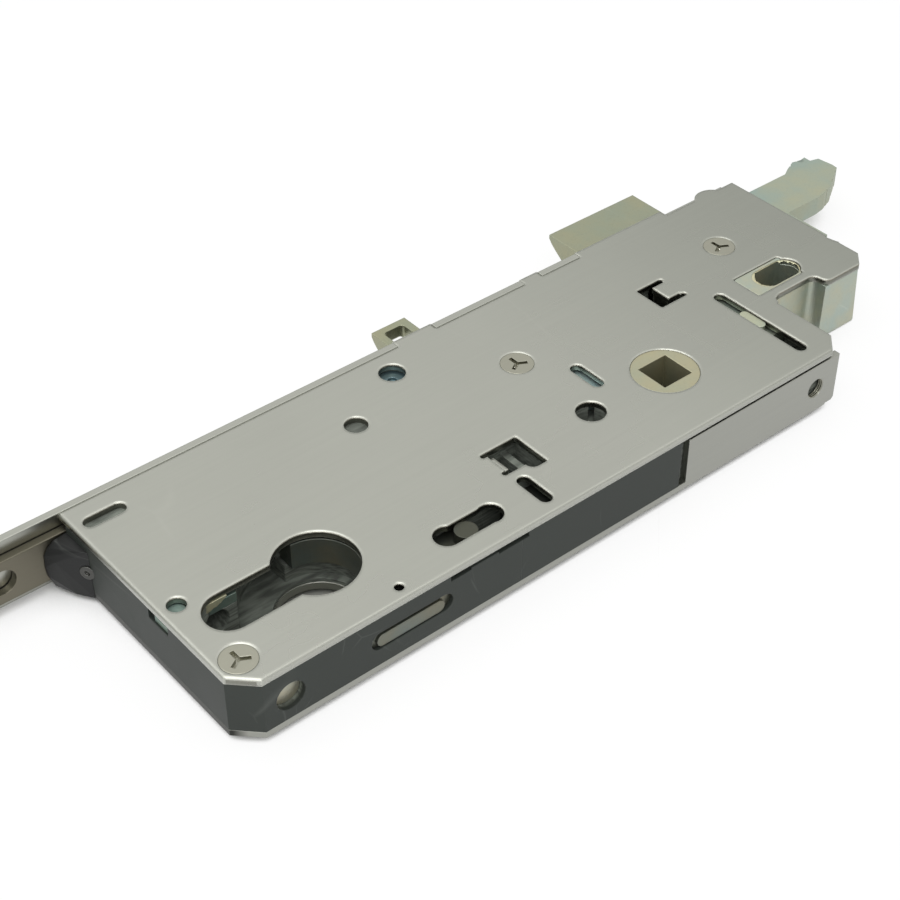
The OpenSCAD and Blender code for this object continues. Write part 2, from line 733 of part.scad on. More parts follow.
module case_screws() {
    deep = (screw_head - screw_d) / 2;
    sunk = 0.1;
    color([0.72, 0.72, 0.66]) for (at = case_screws_at) translate([at[0], at[1], 0]) difference() {
        union() {
            translate([0, 0, z_top - deep]) cylinder(h = deep - sunk, r1 = screw_d / 2 - seat_gap,
                r2 = screw_head / 2 - sunk - seat_gap);
            translate([0, 0, z_low + 0.2]) cylinder(h = z_top - z_low - deep - 0.2 + eps, r = screw_d / 2 - seat_gap);
        }
        for (a = [90, 210, 330]) rotate(a) translate([0, -0.45, z_top - 1.1]) cube([2.3, 0.9, 2]);
    }
}

module guide_pin() {
    color([0.60, 0.66, 0.68]) translate([pin_at[0], pin_at[1], -z_in + 1 + seat_gap]) difference() {
        cylinder(h = 2 * z_in - 1.6, r = pin_d / 2 + 0.4);
        translate([0, 0, 2 * z_in - 2.4]) cylinder(h = 2, r = 1);
    }
}

clip_z0 = 2.6;
clip_z1 = 4.9;
module clip_2d(gap = 0) {
    y0 = cyl_web / 2 + 0.2;
    polygon([[x_low + 0.4 - gap, y0 - 0.4 + gap], [x_low + 0.4 - gap, 9.9 + gap], [x_low + 8, 11 + gap],
        [cyl_end_x + 6 + gap, 10 + gap], [cyl_end_x + 5 + gap, y0 - eps]]);
}

module end_clip() {
    color([0.66, 0.68, 0.60]) {
        difference() {
            flat(clip_z0, clip_z1) intersection() {
                clip_2d();
                translate([x_low, cyl_web / 2 + 0.25]) square([40, 10]);
            }
            translate([clip_at[0] + 8, 8.2, 0]) cylinder(h = 10, r = 1.1);
        }
        translate([clip_at[0], clip_at[1] + 0.2, clip_z1 - eps]) cylinder(h = z_in - clip_z1 - 0.2, r = 1.9);
    }
}

module rear_pin() {
    color([0.70, 0.71, 0.68]) translate([cyl_end_x + 0.3, -rear + 1.8, -0.4]) rotate([-90, 0, 0])
        cylinder(h = 4.7, r = 3.2 - seat_gap);
}

// Keeper in the rear wall, with the key that fills most of the wall's slot
key_slot = [cyl_x - 1, cyl_x + 18.5, 0.1, 2.1];
key = [cyl_x + 0.5, cyl_x + 16.6, -0.3, 1.45];
keeper_x0 = cyl_x - 4;
keeper_x1 = cyl_x + 21.5;
keeper_y = -rear + 1;
keeper_t = 0.6;
keeper_z0 = -2.7;
keeper_z1 = 4.4;
module slide_keeper() {
    color([0.66, 0.68, 0.60]) {
        box(keeper_x0, keeper_x1, keeper_y, keeper_y + keeper_t, keeper_z0, keeper_z1);
        wall_slot(key, -rear + 0.2, keeper_y + rear);
    }
}

// Faceted guide at the lower end of the case, against the drive rail
module rail_guide() {
    low = -7.6;
    top = 4.2;
    color([0.16, 0.17, 0.17]) difference() {
        hull() {
            guide_slice(body_y + 0.1, [[0, top - 0.1], [3, 3.7], [4.4, 2.65], [5.4, 1.05], [5.6, -1.8], [5.4, -4.2],
                [4.2, low], [0, low]]);
            guide_slice(body_y - 2.25, [[0, top], [4.35, 0.35], [3.3, low], [0, low]]);
            guide_slice(body_y - 4.75, [[0, top], [1.95, 2.7], [2.2, low], [0, low]]);
            guide_slice(body_y - 6.55, [[0, top + 0.1], [0.95, top], [0, low]]);
            guide_slice(body_y - 7.95, [[0, top + 0.1], [0.05, top + 0.1], [0.05, low], [0, low]]);
        }
        guide_axis() cylinder(h = 4, r = guide_head + seat_gap);
    }
}

// One outline of the guide across the case, as distances out of the lower end and heights
module guide_slice(y, points) {
    translate([x_low, y, 0]) rotate([90, 0, 0]) linear_extrude(eps)
        polygon([for (p = points) [-p[0], p[1]]]);
}

// Place of the screw in the guide's slanted face
guide_head = 1.6;
module guide_axis() {
    translate([x_low - 0.25, body_y - 7.3, -0.85]) rotate([0, 90, 212]) children();
}

module guide_screw() {
    color([0.60, 0.60, 0.56]) guide_axis() difference() {
        cylinder(h = 0.45, r = guide_head);
        translate([0, 0, 0.1]) cylinder(h = 1, r = 0.7, $fn = 6);
    }
}

// Ring around the cylinder and the slide that it drives

module lock_ring() {
    color([0.42, 0.46, 0.44]) translate([cyl_x, 0, ring_z0]) linear_extrude(ring_t) {
        difference() {
            union() {
                sector_2d(ring_in, ring_out, -45, 88);
                teeth_2d(ring_m, ring_z, -8, -3);
            }
            circle(ring_in);
            rotate(56) translate([ring_out - 0.9, -1.2]) square([3, 2.4]);
        }
    }
}

module lock_slide() {
    first = -3;
    last = 2;
    color([0.70, 0.72, 0.68]) {
        flat(lock_z0, lock_z0 + slide_t) {
            translate([cyl_x, rack_y]) mirror([0, 1]) rack_teeth_2d(ring_m, first, last);
            translate([bar_x0, bar_y0]) square([pad_x1 - bar_x0, bar_y1 - bar_y0]);
            translate([lock_lug_x0, bar_y0]) square([lock_lug_x1 - lock_lug_x0, lock_lug_y1 - bar_y0]);
        }
        box(pad_x0, pad_x1, bar_y0, lock_lug_y1, lock_z0, lock_z0 + slide_t + 1.4);
        box(lock_lug_x0 + 1.6, lock_lug_x1, bar_y1, lock_lug_y1, lock_z0 + slide_t - eps, z_in - 1.8);
        translate([lock_x, lock_slot_y, z_in - 1.8 - eps]) cylinder(h = 2.6, r = 2.4);
    }
}

// Follower, its toothed segment and the lever that draws the latch

module follower() {
    color([0.72, 0.70, 0.62]) difference() {
        union() {
            translate([0, 0, z_low + 0.1]) cylinder(h = z_top - z_low - 0.2, r = hub_r);
            flat(gear_z0, gear_z0 + gear_t) sector_2d(hub_r - 1, dog_r, 200 - dog_half, 200 + dog_half);
            flat(lever_z0, lever_z0 + lever_t) sector_2d(hub_r - 1, dog_r, 230 - dog_half, 230 + dog_half);
        }
        translate([0, 0, z_low - cut]) linear_extrude(z_top - z_low + 2 * cut)
            square(spindle + 0.1, center = true);
    }
}

module drive_gear() {
    color([0.62, 0.65, 0.62]) flat(gear_z0, gear_z0 + gear_t) difference() {
        union() {
            circle(gear_ring);
            teeth_2d(gear_m, gear_z, 0, 6);
        }
        circle(hub_r + turn_gap);
        sector_2d(hub_r - 1, dog_r + 0.2, 200 - dog_half - press - 0.6, 200 + dog_half + 0.6);
    }
}

module latch_lever() {
    color([0.60, 0.65, 0.66]) flat(lever_z0, lever_z0 + lever_t) difference() {
        union() {
            circle(gear_ring);
            rotate(lever_rest) {
                translate([0, -lever_low]) square([lever_reach, lever_low + nose_r]);
                translate([lever_reach, 0]) circle(nose_r);
            }
            translate([-13.9, 9.4]) circle(5.3);
            rotate(146) translate([0, -5.3]) square([16.8, 10.6]);
        }
        circle(hub_r + turn_gap);
        sector_2d(hub_r - 1, dog_r + 0.2, 230 - dog_half - 0.6, 230 + dog_half + lift + 0.6);
    }
}

// Drive slide, drive rail and shoot rod head

module drive_slide() {
    rack_first = -2;
    rack_last = 4;
    color([0.64, 0.66, 0.64]) difference() {
        flat(slide_z0, slide_z0 + slide_h) {
            translate([0, gear_pr]) rack_teeth_2d(gear_m, rack_first, rack_last);
            translate([slide_x0, strip_y0]) square([16 - slide_x0, slide_back - strip_y0]);
            translate([arm_x0, slide_back - 1]) square([arm_x1 - arm_x0, body_y - slide_back + 1]);
            translate([15, strip_y0]) square([step_end - 15, strip_y1 - strip_y0]);
        }
        flat(-z_top, z_top) slot_2d(screw_x - screw_slot, screw_x + rail_travel + screw_slot,
            case_screws_at[1][1] - screw_slot, case_screws_at[1][1] + screw_slot);
        for (x = [arm_x0 + 3, arm_x1 - 3]) translate([x, rivet_y, -z_top]) cylinder(h = z_top, r = rivet_d / 2);
        for (x = [foot_x + 3, foot_x + 11]) translate([x, foot_rivet_y, -z_top])
            cylinder(h = z_top, r = rivet_d / 2);
    }
}

screw_x = case_screws_at[1][0];
screw_slot = screw_d / 2 + slide_gap;
slide_x0 = screw_x - screw_slot - 2;
foot_rivet_y = (strip_y0 + strip_y1) / 2;
bracket_t = 2;
rivet_z = 1.1;
rivet_y = body_y - 6.75;

module rail_bracket() {
    z0 = slide_z0 + slide_h;
    wall_y = rail_y - rail_t;
    color([0.62, 0.64, 0.62]) difference() {
        union() {
            box(arm_x0, arm_x1, rivet_y - 3.4, wall_y, z0, z0 + bracket_t);
            box(arm_x0, arm_x1, wall_y - bracket_t, wall_y, z0, 3.2);
        }
        for (x = [arm_x0 + 3, arm_x1 - 3]) {
            translate([x, rivet_y, z0 - cut]) cylinder(h = 5, r = rivet_d / 2);
            translate([x, rivet_y, rivet_z]) rotate([-90, 0, 0]) cylinder(h = 20, r = rivet_d / 2);
        }
    }
}

module rail_rivets() {
    wall_y = rail_y - rail_t;
    z0 = slide_z0;
    head = 0.9;
    head_lip = 0.5;
    color([0.60, 0.60, 0.58]) for (x = [arm_x0 + 3, arm_x1 - 3]) {
        translate([x, rivet_y, z0]) cylinder(h = slide_h + bracket_t, r = rivet_d / 2 - seat_gap);
        translate([x, rivet_y, z0 + slide_h + bracket_t]) cylinder(h = head, r = rivet_d / 2 + head_lip);
        translate([x, wall_y - bracket_t, rivet_z]) rotate([-90, 0, 0])
            cylinder(h = bracket_t + rail_t, r = rivet_d / 2 - seat_gap);
        translate([x, wall_y - bracket_t - head, rivet_z]) rotate([-90, 0, 0])
            cylinder(h = head, r = rivet_d / 2 + head_lip);
    }
}

// A slot in the rail clears a piece from x0 to x1 over the whole travel
module rail_slot(x0, x1, h, z) {
    r = h / 2;
    y0 = rail_y - rail_t - cut;
    translate([x0, y0, z - r]) cube([x1 - x0, rail_t + 2 * cut, h]);
    for (x = [x0, x1]) translate([x, y0, z]) rotate([-90, 0, 0]) cylinder(h = rail_t + 2 * cut, r = r);
}

// The rail is joined at the notch for the small latch: a long strip below it, and a link above
rail_low = -fix_x - 6.4;
rail_joint = aux_x0 - 0.5;
module drive_rail() {
    color([0.70, 0.70, 0.66]) intersection() {
        rail_strip();
        box(rail_low - cut, rail_joint, rail_y - rail_t - cut, rail_y + cut, -rail_w, rail_w);
    }
}

module rail_link() {
    color([0.70, 0.70, 0.66]) intersection() {
        rail_strip();
        box(rail_joint, rail_end + cut, rail_y - rail_t - cut, rail_y + cut, -rail_w, rail_w);
    }
}

module rail_strip() {
    difference() {
        box(rail_low, rail_end, rail_y - rail_t, rail_y, -rail_w / 2 - rail_drop, rail_w / 2 - rail_drop);
        rail_slot(-fix_x, -fix_x + rail_travel + 0.4, 5.8, -rail_drop);
        rail_slot(cyl_end_x, cyl_end_x + rail_travel + 0.4, 6, 0);
        box(rail_joint, aux_x1 + rail_travel + 0.5, rail_y - rail_t - cut, rail_y + cut,
            -aux_low - 0.2, latch_t);
        for (x = [arm_x0 + 3, arm_x1 - 3]) translate([x, rail_y - rail_t - cut, rivet_z]) rotate([-90, 0, 0])
            cylinder(h = rail_t + 2 * cut, r = rivet_d / 2);
    }
}

// The head has teeth on both edges, which lock into the next rod
module rod_head_2d() {
    y0 = y_back - shoot_w;
    tooth = 1;
    difference() {
        polygon([[step_x, y0], [84, y0], [87, y0 + 0.5], [91, y0 + 1.9], [94.8, y0 + 4.3], [98.1, y0 + 6.3],
            [98.3, y0 + 8], [97.8, y_back - 0.3], [95.4, y_back + 0.4], [95.5, y_back + 2.4],
            [93.9, y_back + 2.1], [91.3, y_back + 2.7], [87.7, y_back + 1.1], [85.7, y_back], [step_x, y_back]]);
        for (p = [[89.6, 2.3], [92.6, 2.9]]) translate([p[0], y_back + p[1]]) rotate(45) square(tooth, center = true);
        for (p = [[88.6, 0.6], [93.2, 2.9], [97, 5.2]]) translate([p[0], y0 + p[1]]) rotate(45)
            square(tooth, center = true);
    }
}

module rod_connector() {
    color([0.66, 0.70, 0.67]) difference() {
        flat(shoot_z0, shoot_z1) {
            rod_head_2d();
            translate([foot_x, strip_y0]) square([step_end - foot_x, strip_y1 - strip_y0]);
            translate([step_x, strip_y0]) square([step_end - step_x, y_back - shoot_w - strip_y0 + 1]);
        }
        for (x = [foot_x + 3, foot_x + 11]) translate([x, foot_rivet_y, shoot_z0 - cut])
            cylinder(h = shoot_z1 - shoot_z0 + 2 * cut, r = rivet_d / 2);
    }
}

module connector_rivets() {
    color([0.60, 0.60, 0.58]) for (x = [foot_x + 3, foot_x + 11])
        translate([x, foot_rivet_y, slide_z0]) cylinder(h = shoot_z1 - slide_z0, r = rivet_d / 2 - seat_gap);
}

// Latch bolt, with a hollow-ground bevel on the side towards the base plate

function bevel(tip, depth, z0, z1, steps) = [for (i = [0:steps]) let (t = i / steps)
    [tip - depth * pow(t, 1.25), z1 + (z0 - z1) * t]];

module latch_bolt() {
    color([0.60, 0.61, 0.54]) difference() {
        union() {
            translate([latch_x0, 0, 0]) bolt_block(latch_w, latch_tip, latch_back, -latch_t / 2, latch_t / 2);
            box(tail_x0, tail_x1, tail_y, latch_back + eps, tail_z0, latch_t / 2);
        }
        box(carriage_x0 + 1, carriage_x1 + 0.05, tail_y - cut, tail_y + 6, carriage_z0 - seat_gap, z_in);
        translate([spring_x, tail_y - cut, spring_z]) rotate([-90, 0, 0])
            cylinder(h = spring_deep + cut, r = spring_bore);
        translate([carriage_x0 + 4, tail_y + 3, -z_top]) cylinder(h = 2 * z_top, r = rivet_d / 2);
    }
}

module bolt_block(w, tip, back, z0, z1) {
    nose = 1;
    rotate([90, 0, 90]) linear_extrude(w) polygon(concat([[back, z1], [tip, z1]],
        bevel(tip, tip - backset + 0.4, z0, z1 - nose, 8), [[back, z0]]));
}

module latch_carriage() {
    foot_y = lug_top - lug_h;
    color([0.62, 0.66, 0.62]) difference() {
        union() {
            box(carriage_x0 + 1, carriage_x1, tail_y - 1, tail_y + 6 - seat_gap, carriage_z0, latch_t / 2);
            box(carriage_x0, carriage_x1, foot_y, tail_y - 0.6, carriage_z0, carriage_z1);
            box(17.8, carriage_x0 + eps, foot_y, lug_top, carriage_z0, carriage_z1);
            flat(carriage_z1 - eps, z_top - 0.4)
                slot_2d(boss_x - boss_w / 2, boss_x + boss_w / 2, boss_y0, boss_y1);
        }
        translate([carriage_x0 + 4, tail_y + 3, -z_top]) cylinder(h = 2 * z_top, r = rivet_d / 2);
        flat(-z_top, z_top) slot_2d(carriage_x0 + 2.6, carriage_x0 + 5, 13.6, 25);
    }
}

module carriage_rivets() {
    color([0.60, 0.60, 0.58]) translate([carriage_x0 + 4, tail_y + 3, tail_z0])
        cylinder(h = latch_t / 2 - tail_z0, r = rivet_d / 2 - seat_gap);
}

module latch_spring() {
    color([0.55, 0.56, 0.56]) coil(spring_x, spring_z, spring_r, spring_wire, 9,
        lug_y1 - 1 + 0.1, tail_y + spring_deep - 0.1);
}

// Small hollow latch below the main one

module small_latch() {
    pocket_y0 = y_back - 1;
    pocket_y1 = aux_tip - aux_wall + 0.2;
    r = 1;
    color([0.62, 0.63, 0.56]) difference() {
        union() {
            translate([aux_x0, 0, 0]) bolt_block(aux_w, aux_tip, latch_back, -aux_low, latch_t / 2);
            translate([aux_x, stem_y, 0]) rotate([-90, 0, 0]) cylinder(h = latch_back - stem_y + 1, r = stem_r);
        }
        flat(-1.4, z_top) rounded_window_2d([aux_x0 + aux_wall, pocket_y0, aux_x1 - aux_wall, pocket_y1], r);
    }
}

module small_latch_spring() {
    color([0.55, 0.56, 0.56]) coil(aux_x, 0, aux_coil - aux_wire / 2, aux_wire, 5,
        stem_wall + 0.05, latch_back - 0.05);
}

faceplate();
cover_plate();
base_plate();
case_body();
gear_body();
end_housing();
case_screws();
guide_pin();
end_clip();
rear_pin();
slide_keeper();
rail_guide();
guide_screw();
lock_ring();
lock_slide();
follower();
drive_gear();
latch_lever();
drive_slide();
rail_bracket();
rail_rivets();
drive_rail();
rail_link();
rod_connector();
connector_rivets();
latch_bolt();
latch_carriage();
carriage_rivets();
latch_spring();
small_latch();
small_latch_spring();
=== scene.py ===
import math
import random

import bmesh
import bpy
from mathutils import Matrix, Vector


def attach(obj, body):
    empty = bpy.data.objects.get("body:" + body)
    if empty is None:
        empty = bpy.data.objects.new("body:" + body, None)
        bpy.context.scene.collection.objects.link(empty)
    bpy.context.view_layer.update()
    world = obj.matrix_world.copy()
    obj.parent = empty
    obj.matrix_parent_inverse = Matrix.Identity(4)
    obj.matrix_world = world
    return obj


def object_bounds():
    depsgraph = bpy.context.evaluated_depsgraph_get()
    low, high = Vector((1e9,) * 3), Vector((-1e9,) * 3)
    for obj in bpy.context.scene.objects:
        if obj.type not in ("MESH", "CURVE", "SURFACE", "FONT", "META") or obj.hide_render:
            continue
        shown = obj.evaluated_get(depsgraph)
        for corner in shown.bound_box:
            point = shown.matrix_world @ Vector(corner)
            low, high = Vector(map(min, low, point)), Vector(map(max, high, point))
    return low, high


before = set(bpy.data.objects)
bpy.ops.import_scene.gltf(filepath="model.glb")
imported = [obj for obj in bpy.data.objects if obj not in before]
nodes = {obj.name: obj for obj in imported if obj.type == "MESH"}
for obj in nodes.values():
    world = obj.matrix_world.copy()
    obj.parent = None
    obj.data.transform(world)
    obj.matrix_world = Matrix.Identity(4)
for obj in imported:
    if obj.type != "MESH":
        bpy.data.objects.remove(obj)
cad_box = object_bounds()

MM = 0.001

# Faceplate: a flat strip of satin stainless steel that closes the front of the case. It is rolled,
# ground along its length and blanked, so its faces carry a fine grain; its cut edges are rounded and carry a
# painted highlight.


def add_sockets(tree, sockets, in_out):
    for name, (kind, value) in sockets.items():
        socket = tree.interface.new_socket(name, in_out=in_out, socket_type="NodeSocket" + kind)
        if value is not None:
            socket.default_value = value


def start_group(name, inputs, outputs):
    tree = bpy.data.node_groups.new(name, "ShaderNodeTree")
    add_sockets(tree, inputs, "INPUT")
    add_sockets(tree, outputs, "OUTPUT")
    return tree, tree.nodes.new("NodeGroupInput"), tree.nodes.new("NodeGroupOutput")


def put(tree, kind, settings=None, **inputs):
    """Adds a shader node; an input given as a socket is linked, anything else is set."""
    node = tree.nodes.new("ShaderNode" + kind)
    for key, value in (settings or {}).items():
        setattr(node, key, value)
    for key, value in inputs.items():
        socket = node.inputs[int(key[1:])] if key[1:].isdigit() else node.inputs[key.replace("_", " ")]
        if isinstance(value, bpy.types.NodeSocket):
            tree.links.new(value, socket)
        else:
            socket.default_value = value
    return node


def maths(tree, operation, a, b=0.0, clamp=False):
    return put(tree, "Math", {"operation": operation, "use_clamp": clamp}, i0=a, i1=b).outputs[0]


def ramp(tree, value, low, high, out_low=0.0, out_high=1.0):
    return put(tree, "MapRange", {"clamp": True}, Value=value, From_Min=low, From_Max=high,
               To_Min=out_low, To_Max=out_high).outputs[0]


def blend(tree, factor, a, b, mode="MIX"):
    return put(tree, "Mix", {"data_type": "RGBA", "blend_type": mode}, i0=factor, i6=a, i7=b).outputs[2]


def stretched(tree, scale, turn=(0, 0, 0)):
    place = put(tree, "TexCoord").outputs["Object"]
    return put(tree, "Mapping", Vector=place, Rotation=turn, Scale=scale).outputs[0]


# Fine hairlines and rub marks: thin lines along cell borders, broken up so that few of them show
hairlines, hair_in, hair_out = start_group(
    "hairlines", {"Spacing": ("Float", 60.0), "Amount": ("Float", 0.5)}, {"Mask": ("Float", None)})
marks = []
for turn, stretch in ((0.55, 0.16), (-0.9, 0.22)):
    where = stretched(hairlines, (1.0, stretch, 1.0), (0, 0, turn))
    bent = put(hairlines, "TexNoise", Vector=where, Scale=35.0, Detail=1.0).outputs["Color"]
    bent = put(hairlines, "Mix", {"data_type": "VECTOR"}, i0=0.012, i4=where, i5=bent).outputs[1]
    edge = put(hairlines, "TexVoronoi", {"feature": "DISTANCE_TO_EDGE"}, Vector=bent,
               Scale=hair_in.outputs["Spacing"]).outputs["Distance"]
    few = put(hairlines, "TexNoise", Vector=where, Scale=90.0, Detail=2.0).outputs[0]
    marks.append(maths(hairlines, "MULTIPLY", ramp(hairlines, edge, 0.0, 0.012, 1, 0),
                       ramp(hairlines, few, 0.56, 0.66)))
both = maths(hairlines, "MAXIMUM", marks[0], marks[1])
both = maths(hairlines, "MULTIPLY", both, hair_in.outputs["Amount"])
hairlines.links.new(both, hair_out.inputs["Mask"])

# Rounding of an edge: the softened normal, and a mask that is high where the edge turns
soft_edge, edge_in, edge_out = start_group(
    "soft_edge", {"Radius": ("Float", 0.0004), "Gain": ("Float", 3.0)},
    {"Mask": ("Float", None), "Normal": ("Vector", None)})
rounded = put(soft_edge, "Bevel", {"samples": 6}, Radius=edge_in.outputs["Radius"]).outputs[0]
flat = put(soft_edge, "NewGeometry").outputs["Normal"]
turned = put(soft_edge, "VectorMath", {"operation": "DOT_PRODUCT"}, i0=rounded, i1=flat).outputs["Value"]
turned = maths(soft_edge, "SUBTRACT", 1.0, turned)
turned = maths(soft_edge, "MULTIPLY", turned, edge_in.outputs["Gain"], True)
soft_edge.links.new(turned, edge_out.inputs["Mask"])
soft_edge.links.new(rounded, edge_out.inputs["Normal"])

# Blotches of a handled surface: broad smears and small specks, as a value round zero
blotches, blot_in, blot_out = start_group(
    "blotches", {"Broad": ("Float", 22.0), "Fine": ("Float", 900.0)},
    {"Smear": ("Float", None), "Grain": ("Float", None), "Speck": ("Float", None)})
here = stretched(blotches, (1, 1, 1))
smear = put(blotches, "TexNoise", Vector=here, Scale=blot_in.outputs["Broad"], Detail=5.0, Roughness=0.6)
grain = put(blotches, "TexNoise", Vector=here, Scale=blot_in.outputs["Fine"], Detail=3.0, Roughness=0.7)
speck = put(blotches, "TexVoronoi", Vector=here, Scale=130.0, Randomness=1.0).outputs["Distance"]
rare = put(blotches, "TexNoise", Vector=here, Scale=47.0).outputs[0]
speck = ramp(blotches, speck, 0.03, 0.06, 1, 0)
speck = maths(blotches, "MULTIPLY", speck, ramp(blotches, rare, 0.60, 0.64))
for name, value in (("Smear", ramp(blotches, smear.outputs[0], 0.25, 0.75, -1, 1)),
                    ("Grain", ramp(blotches, grain.outputs[0], 0.25, 0.75, -1, 1)), ("Speck", speck)):
    blotches.links.new(value, blot_out.inputs[name])


def group(tree, kind, **inputs):
    node = tree.nodes.new("ShaderNodeGroup")
    node.node_tree = kind
    for key, value in inputs.items():
        node.inputs[key].default_value = value
    return node


def start_material(name, metallic, specular=0.5):
    material = bpy.data.materials.new(name)
    material.use_nodes = True
    tree = material.node_tree
    shader = tree.nodes["Principled BSDF"]
    shader.inputs["Metallic"].default_value = metallic
    shader.inputs["Specular IOR Level"].default_value = specular
    return material, tree, shader


def lighten(colour, factor):
    return tuple(min(1.0, c * factor) for c in colour[:3]) + (1.0,)


def place_of(tree):
    """The object's own coordinates, in millimetres, as three values."""
    axes = put(tree, "SeparateXYZ", i0=put(tree, "TexCoord").outputs["Object"])
    return [maths(tree, "MULTIPLY", axes.outputs[k], 1000.0) for k in range(3)]


def spot(tree, centre, radius, soft):
    """A round mark at a place given in millimetres: 1 inside, 0 beyond its soft rim."""
    away = put(tree, "VectorMath", {"operation": "DISTANCE"}, i0=put(tree, "TexCoord").outputs["Object"],
               i1=tuple(c * MM for c in centre)).outputs["Value"]
    return ramp(tree, away, radius * MM, (radius + soft) * MM, 1, 0)


# Outer faces of the case's lower end wall and rear wall, in millimetres
case_low, case_rear = -121.7, -17.4


def stainless(name, colour, roughness, rim=0.00035, rim_highlight=1.5, blanked_from=None, painted_shade_below=None):
    """Satin stainless sheet: rolled grain, handling marks, and rounded rims lightened as a painted
    highlight.

    blanked_from is the height of a blanked upper face, below which the walls of the holes are torn and
    painted darker as shade inside the holes; the sheet is also painted darker towards its upper end, as
    shade. The last argument is the height below which the lower end is painted nearly black, as shade.
    """
    material, tree, shader = start_material(name, 1.0)
    marks = group(tree, blotches, Broad=16.0, Fine=2600.0)
    lines = group(tree, hairlines, Spacing=34.0, Amount=0.35)
    edge = group(tree, soft_edge, Radius=rim, Gain=2.6)
    rolled = stretched(tree, (30, 1400, 1400))
    streaks = put(tree, "TexNoise", Vector=rolled, Scale=1.0, Detail=2.0).outputs[0]
    tone = maths(tree, "MULTIPLY", marks.outputs["Smear"], 0.022)
    tone = maths(tree, "ADD", tone, ramp(tree, streaks, 0.3, 0.7, -0.010, 0.010))
    base = blend(tree, ramp(tree, tone, -0.06, 0.06), lighten(colour, 0.93), lighten(colour, 1.07))
    base = blend(tree, maths(tree, "MULTIPLY", lines.outputs["Mask"], 0.2), base, lighten(colour, 1.3))
    base = blend(tree, maths(tree, "MULTIPLY", marks.outputs["Speck"], 0.4), base, lighten(colour, 0.7))
    if blanked_from is not None:
        x, y, z = place_of(tree)
        up = put(tree, "SeparateXYZ", i0=put(tree, "NewGeometry").outputs["Normal"]).outputs["Z"]
        wall = ramp(tree, maths(tree, "ABSOLUTE", up), 0.35, 0.6, 1, 0)
        wall = maths(tree, "MULTIPLY", wall, maths(tree, "GREATER_THAN", y, case_rear))
        wall = maths(tree, "MULTIPLY", wall, maths(tree, "GREATER_THAN", x, case_low))
        upright = stretched(tree, (1800, 1800, 300))
        shear = put(tree, "TexNoise", Vector=upright, Scale=1.0, Detail=2.0).outputs[0]
        torn = blend(tree, shear, (0.15, 0.15, 0.125, 1), (0.27, 0.27, 0.235, 1))
        lip = ramp(tree, z, blanked_from - 0.55, blanked_from - 0.3)
        torn = blend(tree, lip, torn, (0.11, 0.085, 0.05, 1))
        # the torn shear texture is the sheet's own; laying its dark colour on the hole walls is painted
        # shade inside the holes
        base = blend(tree, maths(tree, "MULTIPLY", wall, 0.9), base, torn)
        # painted shade: the sheet is made darker towards its upper end
        base = blend(tree, ramp(tree, x, -20.0, 62.0), base, (0.78, 0.79, 0.78, 1), "MULTIPLY")
    if painted_shade_below is not None:
        # painted shade: the lower end wall below the given height is painted nearly black
        x, _, z = place_of(tree)
        low_end = ramp(tree, x, case_low + 2.2, case_low + 0.2)
        end_shade = maths(tree, "MULTIPLY", maths(tree, "LESS_THAN", z, painted_shade_below), low_end)
        base = blend(tree, end_shade, base, lighten(colour, 0.12))
    # painted highlight: the edge mask lightens the rims
    base = blend(tree, maths(tree, "MULTIPLY", edge.outputs["Mask"], 0.6), base, lighten(colour, rim_highlight))
    tree.links.new(base, shader.inputs["Base Color"])
    rough = maths(tree, "ADD", maths(tree, "MULTIPLY", marks.outputs["Smear"], 0.03), roughness)
    rough = maths(tree, "ADD", rough, maths(tree, "MULTIPLY", lines.outputs["Mask"], 0.1))
    tree.links.new(rough, shader.inputs["Roughness"])
    height = maths(tree, "ADD", maths(tree, "MULTIPLY", marks.outputs["Grain"], 0.5),
                   maths(tree, "MULTIPLY", lines.outputs["Mask"], -1.2))
    bump = put(tree, "Bump", Height=height, Strength=0.08, Distance=0.00002,
               Normal=edge.outputs["Normal"])
    tree.links.new(bump.outputs[0], shader.inputs["Normal"])
    return material


def dress(node, material):
    mesh = nodes[node].data
    mesh.materials.clear()
    mesh.materials.append(material)


STEEL = (0.42, 0.425, 0.385)
face_steel = stainless("faceplate_steel", STEEL, 0.30)
dress("faceplate", face_steel)

# Drive rail: a narrow steel strip that slides behind the faceplate. It is punched with slots for the
# screws and the small latch, zinc plated, and a little warmer and duller than the faceplate.

rail_steel = stainless("rail_steel", (0.17, 0.158, 0.122), 0.40)
dress("drive_rail", rail_steel)
dress("rail_link", rail_steel)

# Base plate: the lower shell of the case, blanked from stainless sheet, with its rear flange folded up
# as the bright part of the rear wall. Its steel is the faceplate's made a fifth darker, as painted shade.

dress("base_plate", stainless("base_steel", lighten(STEEL, 0.80), 0.34, painted_shade_below=-5.9))

# Moulded body: black glass-filled plastic between the plates, with pockets for the gear train. Its skin
# is matt, with flow marks and pale scuffs on the edges.


